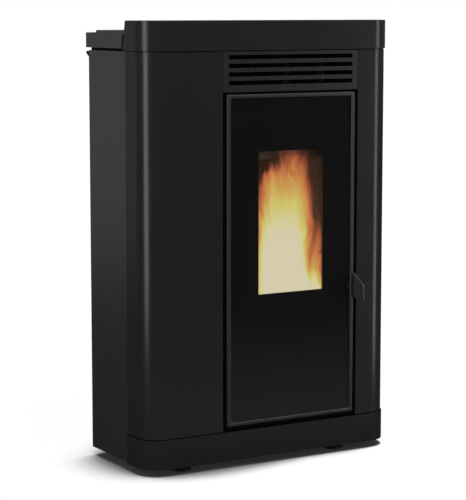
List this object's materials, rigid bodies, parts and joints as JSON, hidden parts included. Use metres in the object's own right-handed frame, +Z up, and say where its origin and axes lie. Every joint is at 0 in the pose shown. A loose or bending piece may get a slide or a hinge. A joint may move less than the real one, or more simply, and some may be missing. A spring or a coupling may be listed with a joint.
{
  "type": "pellet stove",
  "caption": "Slim upright pellet stove: painted sheet casing with rounded front corners, tall glazed fire door, louvred grille, top-filled hopper and rear flue.",
  "frame": {"origin": "bottom centre of the whole stove's bounding box, on the floor", "axes": "+Z up, the front with the door faces -Y, +X to the right as seen from the front"},
  "size_m": [0.758, 0.431, 1.163],
  "materials": {
    "casing_paint": "fine textured matt powder coat",
    "black_paint": "matt high-temperature paint",
    "galvanised": "bright galvanised sheet",
    "steel": "zinc-plated steel",
    "fire_steel": "heat-stained steel plate",
    "cast_iron": "sand-cast, heat-dulled",
    "ceramic_glass": "polished",
    "rope": "knitted glass fibre",
    "rubber": "matt",
    "black_plastic": "fine texture",
    "display": "clear gloss",
    "circuit_board": "solder resist",
    "motor_metal": "die-cast",
    "screw_metal": "blackened zinc"
  },
  "bodies": {
    "cabinet": {"base_frame": "black_paint", "plinth": "casing_paint", "left_front_panel": "casing_paint", "right_front_panel": "casing_paint", "crown": "casing_paint", "left_side_panel": "casing_paint", "right_side_panel": "casing_paint", "rear_panel": "casing_paint", "rear_screws": "screw_metal", "chassis_frame": "black_paint", "heat_shield": "galvanised", "top_frame": "casing_paint", "rear_channel": "casing_paint", "top_cover": "casing_paint", "lid_gasket": "rubber", "air_grille": "black_paint", "air_duct": "galvanised", "door_hinges": "steel", "latch_keeper": "steel", "firebox": "fire_steel", "rear_lining": "cast_iron", "side_linings": "cast_iron", "baffle": "cast_iron", "hearth_plate": "cast_iron", "burner_box": "fire_steel", "burn_pot": "cast_iron", "ash_drawer": "galvanised", "heat_exchanger": "fire_steel", "hopper": "galvanised", "auger_tube": "steel", "auger_gearmotor": "motor_metal", "feed_chute": "fire_steel", "exhaust_housing": "galvanised", "blower_motors": "motor_metal", "flue_spigot": "black_paint", "air_inlet": "steel", "igniter": "steel", "room_housing": "galvanised", "control_board": "circuit_board", "control_panel": "black_plastic", "display_window": "display", "power_inlet": "black_plastic"},
    "fire_door": {"door_frame": "black_paint", "door_glass": "ceramic_glass", "pane_clips": "steel", "door_gaskets": "rope"},
    "door_handle": {"door_handle": "black_paint"},
    "hopper_lid": {"hopper_lid": "casing_paint"},
    "auger": {"auger_screw": "steel"},
    "exhaust_fan": {"exhaust_impeller": "steel"},
    "room_fan": {"room_rotor": "steel"},
    "power_switch": {"power_switch": "black_plastic"},
    "key_1": {"key_1": "black_plastic"},
    "key_2": {"key_2": "black_plastic"},
    "key_3": {"key_3": "black_plastic"},
    "foot_front_left": {"foot_front_left": "rubber"},
    "foot_front_right": {"foot_front_right": "rubber"},
    "foot_rear_left": {"foot_rear_left": "rubber"},
    "foot_rear_right": {"foot_rear_right": "rubber"}
  },
  "joints": [
    {"name": "door_swing", "type": "hinge", "parent": "cabinet", "child": "fire_door", "pos_m": [-0.1305, -0.1525, 0.541], "axis": [0, 0, -1], "range_deg": [0, 100]},
    {"name": "handle_lift", "type": "hinge", "parent": "fire_door", "child": "door_handle", "pos_m": [0.2556, -0.1545, 0.4535], "axis": [-1, 0, 0], "range_deg": [0, 25]},
    {"name": "lid_lift", "type": "hinge", "parent": "cabinet", "child": "hopper_lid", "pos_m": [-0.2395, 0.1125, 1.134], "axis": [-1, 0, 0], "range_deg": [0, 75]},
    {"name": "auger_turn", "type": "hinge", "parent": "cabinet", "child": "auger", "pos_m": [-0.262, 0.1035, 0.3], "axis": [0.7071, 0, 0.7071], "continuous": true},
    {"name": "exhaust_spin", "type": "hinge", "parent": "cabinet", "child": "exhaust_fan", "pos_m": [0.05575, -0.0015, 0.14], "axis": [1, 0, 0], "continuous": true},
    {"name": "room_fan_spin", "type": "hinge", "parent": "cabinet", "child": "room_fan", "pos_m": [-0.092, 0.0455, 0.128], "axis": [1, 0, 0], "continuous": true},
    {"name": "switch_tip", "type": "hinge", "parent": "cabinet", "child": "power_switch", "pos_m": [0.3135, 0.1455, 0.112], "axis": [-1, 0, 0], "range_deg": [0, 12]},
    {"name": "key_1_press", "type": "slide", "parent": "cabinet", "child": "key_1", "axis": [0, 0, -1], "range_m": [0, 0.001], "stiffness_N_per_m": 500},
    {"name": "key_2_press", "type": "slide", "parent": "cabinet", "child": "key_2", "axis": [0, 0, -1], "range_m": [0, 0.001], "stiffness_N_per_m": 500},
    {"name": "key_3_press", "type": "slide", "parent": "cabinet", "child": "key_3", "axis": [0, 0, -1], "range_m": [0, 0.001], "stiffness_N_per_m": 500},
    {"name": "front_left_foot_turn", "type": "hinge", "parent": "cabinet", "child": "foot_front_left", "pos_m": [-0.254, -0.1185, 0.02], "axis": [0, 0, 1], "continuous": true},
    {"name": "front_right_foot_turn", "type": "hinge", "parent": "cabinet", "child": "foot_front_right", "pos_m": [0.226, -0.1185, 0.02], "axis": [0, 0, 1], "continuous": true},
    {"name": "rear_left_foot_turn", "type": "hinge", "parent": "cabinet", "child": "foot_rear_left", "pos_m": [-0.254, 0.0955, 0.02], "axis": [0, 0, 1], "continuous": true},
    {"name": "rear_right_foot_turn", "type": "hinge", "parent": "cabinet", "child": "foot_rear_right", "pos_m": [0.226, 0.0955, 0.02], "axis": [0, 0, 1], "continuous": true}
  ]
}
